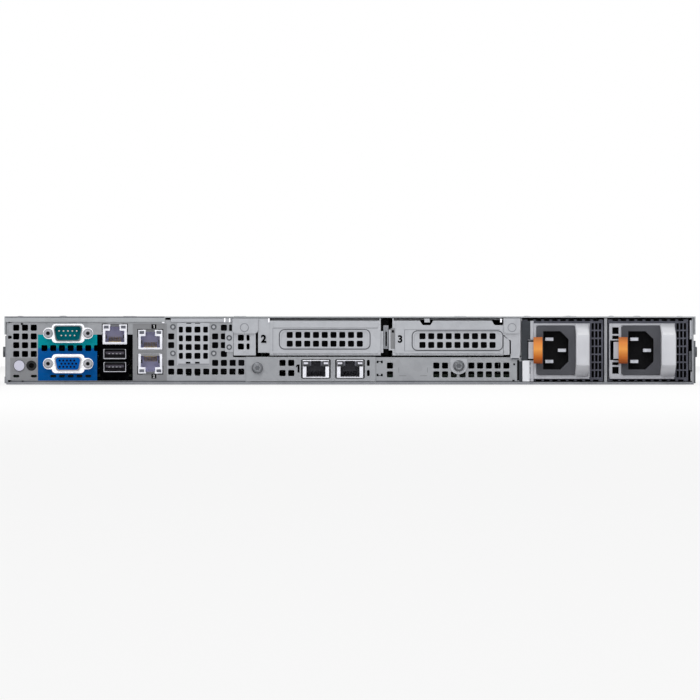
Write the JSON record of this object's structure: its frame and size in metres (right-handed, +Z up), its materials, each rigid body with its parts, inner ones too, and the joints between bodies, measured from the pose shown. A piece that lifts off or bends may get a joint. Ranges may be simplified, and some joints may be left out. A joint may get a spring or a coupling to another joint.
{
  "type": "one-unit rack server",
  "caption": "Flat steel rack server, one unit high: punched rear panel with ports, riser slots and two pull-out power supplies; drive bays and rack ears at the front.",
  "frame": {"origin": "centre of the tray's flat underside, halfway along its depth", "axes": "+X to the right seen from the rear, +Y towards the front (drive) end, +Z up"},
  "size_m": [0.4826, 0.6983, 0.0428],
  "materials": {
    "zinc_steel": "satin zinc-plated sheet",
    "cover_steel": "satin zinc-plated sheet",
    "bright_plate": "bright nickel plate",
    "aluminium": "satin",
    "psu_metal": "satin plated",
    "teal_plastic": "matte",
    "blue_plastic": "matte",
    "gold_contact": "bright",
    "dark_plastic": "matte",
    "inlet_plastic": "matte",
    "orange_plastic": "satin",
    "white_plastic": "satin",
    "strap_plastic": "satin",
    "grey_plastic": "matte",
    "blue_touch": "satin",
    "board_green": "solder mask",
    "ear_metal": "satin black",
    "drive_metal": "cast, satin"
  },
  "bodies": {
    "chassis": {"chassis_tray": "zinc_steel", "rail_studs": "bright_plate", "rear_panel": "zinc_steel", "rear_plates": "zinc_steel", "rear_rivets": "zinc_steel", "dsub_shells": "bright_plate", "serial_insert": "teal_plastic", "vga_insert": "blue_plastic", "jack_screws": "bright_plate", "port_contacts": "gold_contact", "network_jacks": "bright_plate", "riser_jacks": "bright_plate", "usb_ports": "bright_plate", "id_jack": "dark_plastic", "riser_2_cage": "zinc_steel", "riser_3_cage": "zinc_steel", "slot_fillers": "zinc_steel", "lom_bracket": "zinc_steel", "cards": "board_green", "captive_screws": "bright_plate", "psu_bay": "zinc_steel", "system_board": "board_green", "heat_sinks": "aluminium", "memory_modules": "board_green", "air_shroud": "dark_plastic", "fan_cage": "zinc_steel", "fan_frames": "dark_plastic", "drive_cage": "zinc_steel", "drive_backplane": "board_green", "rack_ears": "ear_metal", "left_control_panel": "dark_plastic", "right_control_panel": "dark_plastic"},
    "psu_1": {"psu_1_case": "psu_metal", "psu_1_inlet": "inlet_plastic", "psu_1_handle": "strap_plastic"},
    "psu_1_release": {"psu_1_latch": "orange_plastic"},
    "psu_2": {"psu_2_case": "psu_metal", "psu_2_inlet": "inlet_plastic", "psu_2_handle": "strap_plastic"},
    "psu_2_release": {"psu_2_latch": "orange_plastic"},
    "carrier_1": {"carrier_1": "grey_plastic", "disk_1": "drive_metal"},
    "pull_1": {"handle_1": "grey_plastic"},
    "press_1": {"button_1": "orange_plastic"},
    "carrier_2": {"carrier_2": "grey_plastic", "disk_2": "drive_metal"},
    "pull_2": {"handle_2": "grey_plastic"},
    "press_2": {"button_2": "orange_plastic"},
    "blank_3": {"blank_3": "grey_plastic"},
    "blank_4": {"blank_4": "grey_plastic"},
    "power_button": {"power_button": "grey_plastic"},
    "id_button": {"id_button": "white_plastic"},
    "cover": {"top_cover": "cover_steel"},
    "cover_lever": {"cover_latch": "blue_touch"},
    "rotor_1": {"rotor_1": "dark_plastic"},
    "rotor_2": {"rotor_2": "dark_plastic"},
    "rotor_3": {"rotor_3": "dark_plastic"},
    "rotor_4": {"rotor_4": "dark_plastic"},
    "rotor_5": {"rotor_5": "dark_plastic"},
    "rotor_6": {"rotor_6": "dark_plastic"}
  },
  "joints": [
    {"name": "psu_1_slide", "type": "slide", "parent": "chassis", "child": "psu_1", "axis": [0, -1, 0], "range_m": [0, 0.2]},
    {"name": "psu_1_release_hinge", "type": "hinge", "parent": "psu_1", "child": "psu_1_release", "pos_m": [0.1124, -0.3065, 0.0215], "axis": [0, 0, 1], "range_deg": [0, 5], "stiffness_Nm_per_rad": 0.6},
    {"name": "psu_2_slide", "type": "slide", "parent": "chassis", "child": "psu_2", "axis": [0, -1, 0], "range_m": [0, 0.2]},
    {"name": "psu_2_release_hinge", "type": "hinge", "parent": "psu_2", "child": "psu_2_release", "pos_m": [0.1658, -0.3065, 0.0215], "axis": [0, 0, 1], "range_deg": [0, 5], "stiffness_Nm_per_rad": 0.6},
    {"name": "carrier_1_slide", "type": "slide", "parent": "chassis", "child": "carrier_1", "axis": [0, 1, 0], "range_m": [0, 0.16]},
    {"name": "handle_1_hinge", "type": "hinge", "parent": "carrier_1", "child": "pull_1", "pos_m": [-0.2051, 0.3398, 0.0153], "axis": [0, 0, 1], "range_deg": [0, 60]},
    {"name": "button_1_press", "type": "slide", "parent": "carrier_1", "child": "press_1", "axis": [0, -1, 0], "range_m": [0, 0.002], "stiffness_N_per_m": 400},
    {"name": "carrier_2_slide", "type": "slide", "parent": "chassis", "child": "carrier_2", "axis": [0, 1, 0], "range_m": [0, 0.16]},
    {"name": "handle_2_hinge", "type": "hinge", "parent": "carrier_2", "child": "pull_2", "pos_m": [-0.0991, 0.3398, 0.0153], "axis": [0, 0, 1], "range_deg": [0, 60]},
    {"name": "button_2_press", "type": "slide", "parent": "carrier_2", "child": "press_2", "axis": [0, -1, 0], "range_m": [0, 0.002], "stiffness_N_per_m": 400},
    {"name": "blank_3_slide", "type": "slide", "parent": "chassis", "child": "blank_3", "axis": [0, 1, 0], "range_m": [0, 0.08]},
    {"name": "blank_4_slide", "type": "slide", "parent": "chassis", "child": "blank_4", "axis": [0, 1, 0], "range_m": [0, 0.08]},
    {"name": "power_press", "type": "slide", "parent": "chassis", "child": "power_button", "axis": [0, -1, 0], "range_m": [0, 0.0008], "stiffness_N_per_m": 500},
    {"name": "id_press", "type": "slide", "parent": "chassis", "child": "id_button", "axis": [0, 1, 0], "range_m": [0, 0.0008], "stiffness_N_per_m": 500},
    {"name": "cover_lift", "type": "slide", "parent": "chassis", "child": "cover", "axis": [0, 0, 1], "range_m": [0, 0.15]},
    {"name": "cover_lever_hinge", "type": "hinge", "parent": "cover", "child": "cover_lever", "pos_m": [0, 0.0813, 0.0402], "axis": [1, 0, 0], "range_deg": [0, 70]},
    {"name": "rotor_1_spin", "type": "hinge", "parent": "chassis", "child": "rotor_1", "pos_m": [-0.1725, 0.1209, 0.0215], "axis": [0, 1, 0], "continuous": true},
    {"name": "rotor_2_spin", "type": "hinge", "parent": "chassis", "child": "rotor_2", "pos_m": [-0.1035, 0.1209, 0.0215], "axis": [0, 1, 0], "continuous": true},
    {"name": "rotor_3_spin", "type": "hinge", "parent": "chassis", "child": "rotor_3", "pos_m": [-0.0345, 0.1209, 0.0215], "axis": [0, 1, 0], "continuous": true},
    {"name": "rotor_4_spin", "type": "hinge", "parent": "chassis", "child": "rotor_4", "pos_m": [0.0345, 0.1209, 0.0215], "axis": [0, 1, 0], "continuous": true},
    {"name": "rotor_5_spin", "type": "hinge", "parent": "chassis", "child": "rotor_5", "pos_m": [0.1035, 0.1209, 0.0215], "axis": [0, 1, 0], "continuous": true},
    {"name": "rotor_6_spin", "type": "hinge", "parent": "chassis", "child": "rotor_6", "pos_m": [0.1725, 0.1209, 0.0215], "axis": [0, 1, 0], "continuous": true}
  ]
}
